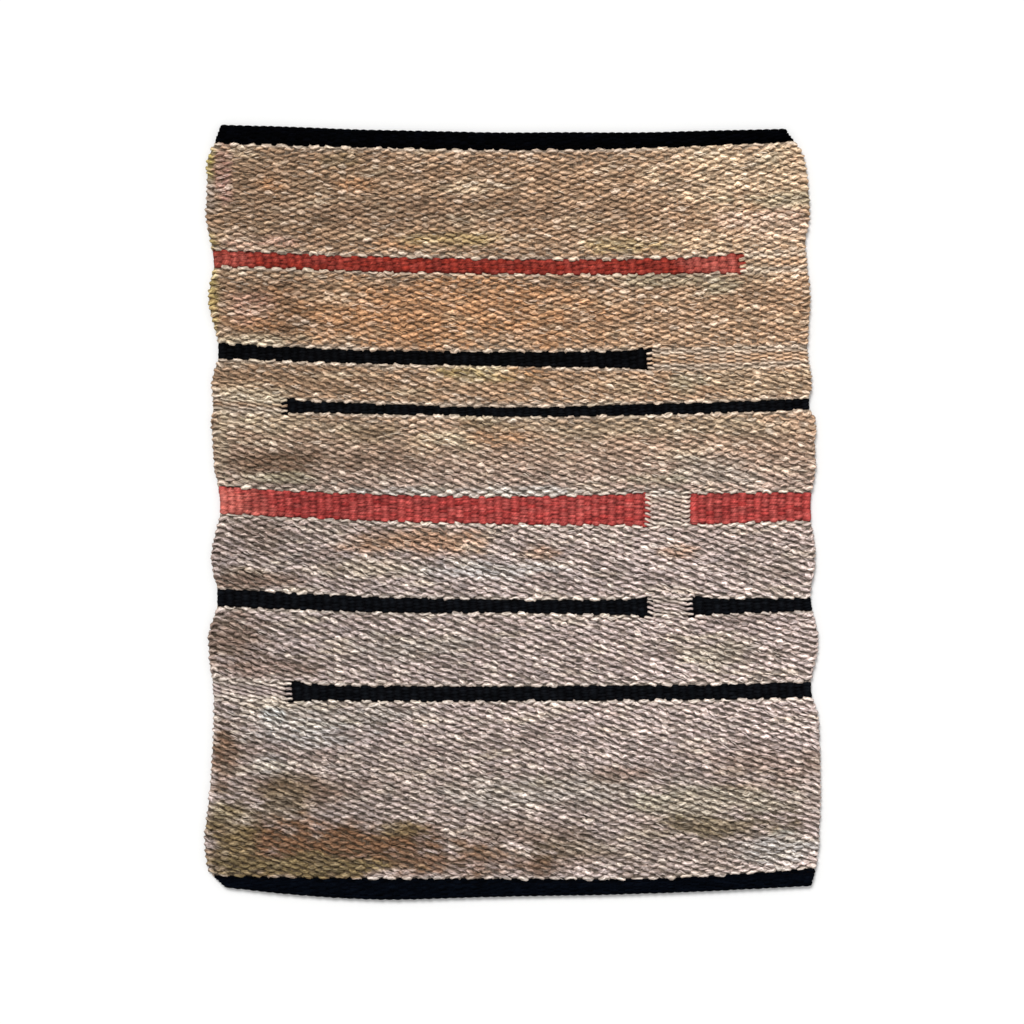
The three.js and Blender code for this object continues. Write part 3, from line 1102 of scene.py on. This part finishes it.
def spin_in_tints(piece, kind):
    """Gives each point of a piece the colour that its fibre has there, with painted light across
    the jute, as an attribute.
    """
    far, near, turning, patches = COLORING[kind]
    mesh = piece.data
    x, y, _ = points_of(mesh).T
    far, near = np.array(far), np.array(near)
    color = far + (near - far) * smooth_step(y, *turning)[:, None]
    if kind in ("jute", "loose"):
        # Painted light: paler towards the east selvedge and darker towards the west
        color[:, :3] *= 1 + EAST_PAINTED_LIGHT * x[:, None] / HALF_WIDTH
        paler = EDGE_STRENGTH * beside_bars(x, y)
        color += paler[:, None] * (np.array(EDGE_TINT) - color)
    ragged = sum(
        strength * noise(seed, x / length, y / depth)
        for seed, length, depth, strength in RAGGEDNESS
    )
    for middle_x, middle_y, half_x, half_y, tint, strength in patches:
        distance = np.hypot((x / MM - middle_x) / half_x, (y / MM - middle_y) / half_y)
        mask = strength * smooth_step(distance + ragged, *PATCH_FADE)
        color += mask[:, None] * (np.array(TINTS[tint]) - color)
    mark_points(mesh, "tint", color)


PAINTED_SHADE_DEEP = 0.8 * MM  # off the middle of the cloth, where the painted shade on its yarns is darkest


def yarn_nodes(nodes, groups, top, **twist):
    """Object coordinates, the float's tone, the fibre's tint, the twist of the yarn, and how far
    out it stands on the way to top, off the middle of the cloth, which is the mask for the painted
    shade."""
    place = nodes.add("ShaderNodeTexCoord").outputs["Object"]
    yarn = nodes.add("ShaderNodeUVMap", uv_map="yarn").outputs["UV"]
    tone, tint = nodes.attribute("tone")["Fac"], nodes.attribute("tint")
    twisted = group_node(nodes, groups["yarn"], Yarn=yarn, **twist)
    out = group_node(nodes, groups["depth"], Place=place, Deep=PAINTED_SHADE_DEEP, Top=top)["Out"]
    return place, tone, tint, twisted, out


def jute_material(name, groups, loose=False):
    """Hand-spun jute, heathered and patchy: the yarn, or the slivers loose on it."""
    material, nodes, shader = new_material(name, 0.9, 0.05)
    place, tone, tint, twist, out = yarn_nodes(
        nodes, groups, 3.5 * MM, Lay=26 * MM, Fibre_Size=0.8 * MM, Wander=6.0
    )
    color, paleness = tint["Color"], tint["Alpha"]
    cloudy = nodes.noise(nodes.stretched(place, (14, 60, 0)), 1.0, 3.0, 0.6)
    color = nodes.mix(nodes.spread(cloudy, 0.5, 0.75, 0.0, 0.5), color, TINTS["umber"])
    creamy = nodes.product(nodes.spread(cloudy, 0.48, 0.3, 0.0, 0.4), paleness)
    color = nodes.mix(creamy, color, TINTS["cream"])

    # Pale and dark floats and the fibres in them
    pale = nodes.product(nodes.spread(tone, 0.0, 1.0, 0.0, 0.45), paleness)
    color = nodes.mix(pale, color, JUTE_PALE)
    color = nodes.times(color, nodes.spread(tone, -0.9, 0.2, 0.62, 1.0))
    color = nodes.times(color, nodes.spread(twist["Fibre"], 0.3, 0.7, 0.52, 1.42))

    # Painted light: a painted highlight on the yarn's crown between flanks in painted shade,
    # painted shade in the groove between the plies, and on the slivers a painted highlight on top
    # and painted shade deeper in
    if loose:
        shade = nodes.mix(out, *SLIVER_PAINTED_LIGHT)
    else:
        crown = nodes.product(nodes.spread(twist["Painted_Highlight"], 0.57, 1.0), out)
        shade = nodes.mix(crown, *JUTE_PAINTED_LIGHT)
        color = nodes.times(color, nodes.spread(twist["Ply"], 0.0, 0.5, 0.62, 1.0))
    color = nodes.mix(1.0, color, shade, "MULTIPLY")
    height = nodes.math("ADD", nodes.product(twist["Ply"], 0.8), twist["Fibre"])
    nodes.finish(shader, color, height, 0.8, 0.6 * MM)
    return material


# The finer yarn's mottles, and its streaks along the picks: how many to the metre along X and
# Y, how detailed and rough, and how dark and light they make it
FINE_UNEVENNESS = [
    ((45, 160, 0), 3.0, 0.7, (0.62, 1.28)),
    ((80, 620, 0), 2.0, 0.6, (0.62, 1.3)),
]

# The paler fibres of the dyed yarns
RED_PALE = (0.84, 0.29, 0.25, 1)
BLACK_PALE = (0.012, 0.014, 0.018, 1)
BAND_PALE = (0.003, 0.004, 0.008, 1)


def fine_material(name, groups, pale, roughness, sheen, gloss):
    """The finer yarn of the bars and bands, in one dyed colour."""
    material, nodes, shader = new_material(name, roughness, sheen, gloss)
    place, tone, tint, twist, out = yarn_nodes(
        nodes, groups, 2.4 * MM, Lay=5 * MM, Fibre_Size=0.6 * MM
    )
    light = nodes.math("ADD", nodes.product(tone, 0.5), twist["Fibre"])
    light = nodes.product(light, 0.35, clamp=True)
    color = nodes.mix(nodes.product(light, tint["Alpha"]), tint["Color"], pale)

    for scale, detail, roughness, shades in FINE_UNEVENNESS:
        layer = nodes.noise(nodes.stretched(place, scale), 1.0, detail, roughness)
        color = nodes.times(color, nodes.spread(layer, 0.3, 0.7, *shades))
    color = nodes.times(color, nodes.spread(twist["Fibre"], 0.3, 0.7, 0.6, 1.3))
    # Painted shade deep in the cloth and a painted highlight on top
    color = nodes.mix(1.0, color, nodes.mix(out, *FINE_PAINTED_LIGHT), "MULTIPLY")
    height = nodes.math("ADD", nodes.product(twist["Ply"], 0.5), twist["Fibre"])
    nodes.finish(shader, color, height, 0.4, 0.2 * MM)
    return material


# The warp cords' colours, with painted shade in them as the cords only show in the gaps between
# picks: bare jute, and the dyed yarns' red or black under the bars
CORD_BARE_IN_SHADE = (0.34, 0.25, 0.17, 1)
CORD_RED_IN_SHADE = (0.09, 0.014, 0.010, 1)
CORD_BLACK_IN_SHADE = (0.004, 0.003, 0.003, 1)


def warp_material():
    """The warp cords, which only show between the picks, where shade falls: their colour is a dim
    jute brown with painted shade in it, or the dyed yarns' red or black in painted shade under the
    bars."""
    material, nodes, shader = new_material("warp_cord", 0.95, 0.0, 0.03)
    place = nodes.add("ShaderNodeTexCoord").outputs["Object"]
    dyed = nodes.attribute("dyed")["Fac"]
    fibre = nodes.noise(nodes.stretched(place, (900, 120, 900)), 1.0, 2.0)
    along = nodes.add("ShaderNodeSeparateXYZ", {0: place}).outputs["Y"]
    uneven = nodes.noise(nodes.stretched(place, (130, 300, 0)), 1.0, 1.0)
    # Painted shade in the gaps between the picks: dim throughout, uneven from gap to gap, and
    # darker towards the near end
    dim = nodes.spread(fibre, 0.3, 0.7, 0.4, 0.8)
    dim = nodes.product(dim, nodes.spread(uneven, 0.35, 0.65, 0.55, 1.5))
    dim = nodes.product(dim, nodes.spread(along, -0.02, 0.1, 0.6, 1.0))
    color = nodes.mix(0.55, nodes.attribute("tint")["Color"], CORD_BARE_IN_SHADE)
    color = nodes.times(color, dim)
    color = nodes.mix(nodes.spread(dyed, -0.2, -0.8), color, CORD_RED_IN_SHADE)
    color = nodes.mix(nodes.spread(dyed, 0.2, 0.8), color, CORD_BLACK_IN_SHADE)
    nodes.finish(shader, color, fibre, 0.4, 0.3 * MM)
    return material


# The setting


FLOOR_REACH = 6  # metres to each side
FLOOR_COLORS = ((0.93, 0.93, 0.925, 1), (0.95, 0.95, 0.945, 1))


def make_floor():
    """A plain pale floor."""
    shape = bmesh.new()
    bmesh.ops.create_grid(shape, x_segments=2, y_segments=2, size=FLOOR_REACH)
    mesh = bpy.data.meshes.new("floor")
    shape.to_mesh(mesh)
    shape.free()
    floor = linked("floor", mesh)
    material, nodes, shader = new_material("floor_paint", 0.9, 0.0)
    place = nodes.add("ShaderNodeTexCoord").outputs["Object"]
    nodes.put(shader.inputs["Base Color"], nodes.mix(nodes.noise(place, 3.0), *FLOOR_COLORS))
    mesh.materials.append(material)
    return floor


SURROUND = 0.55
KEY_ENERGY = 2.2
KEY_SPREAD = 25  # degrees
KEY_TURN = (-35, -15, 0)


def make_lights():
    """Soft studio light: an even surround, and a wide lamp above the far side."""
    scene = bpy.context.scene
    scene.view_settings.view_transform = "Standard"
    world = bpy.data.worlds.new("studio")
    scene.world = world
    world.use_nodes = True
    surround = world.node_tree.nodes["Background"].inputs
    surround["Color"].default_value = (1, 1, 1, 1)
    surround["Strength"].default_value = SURROUND
    data = bpy.data.lights.new("key", "SUN")
    data.energy = KEY_ENERGY
    data.angle = math.radians(KEY_SPREAD)
    key = linked("key", data)
    key.rotation_euler = [math.radians(turn) for turn in KEY_TURN]


def main():
    make_camera()
    floor = make_floor()
    make_lights()
    groups = {"yarn": yarn_group(), "depth": painted_shade_group()}
    materials = {
        "jute": jute_material("jute_yarn", groups),
        "loose": jute_material("loose_jute", groups, loose=True),
        "red": fine_material("red_yarn", groups, RED_PALE, 0.85, 0.05, 0.1),
        "black": fine_material("black_yarn", groups, BLACK_PALE, 0.8, 0.0, 0.02),
        "band": fine_material("band_yarn", groups, BAND_PALE, 0.8, 0.0, 0.01),
    }
    weft = fields_and_bars() + [(loose_slivers(), "loose")]
    for piece, kind in weft:
        piece.data.materials.append(materials[kind])
        spin_in_tints(piece, kind)
        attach(piece, "root")
    base = warp_layer()
    base.data.materials.append(warp_material())
    spin_in_tints(base, "jute")
    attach(base, "root")
    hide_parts("woven_cloth")


main()
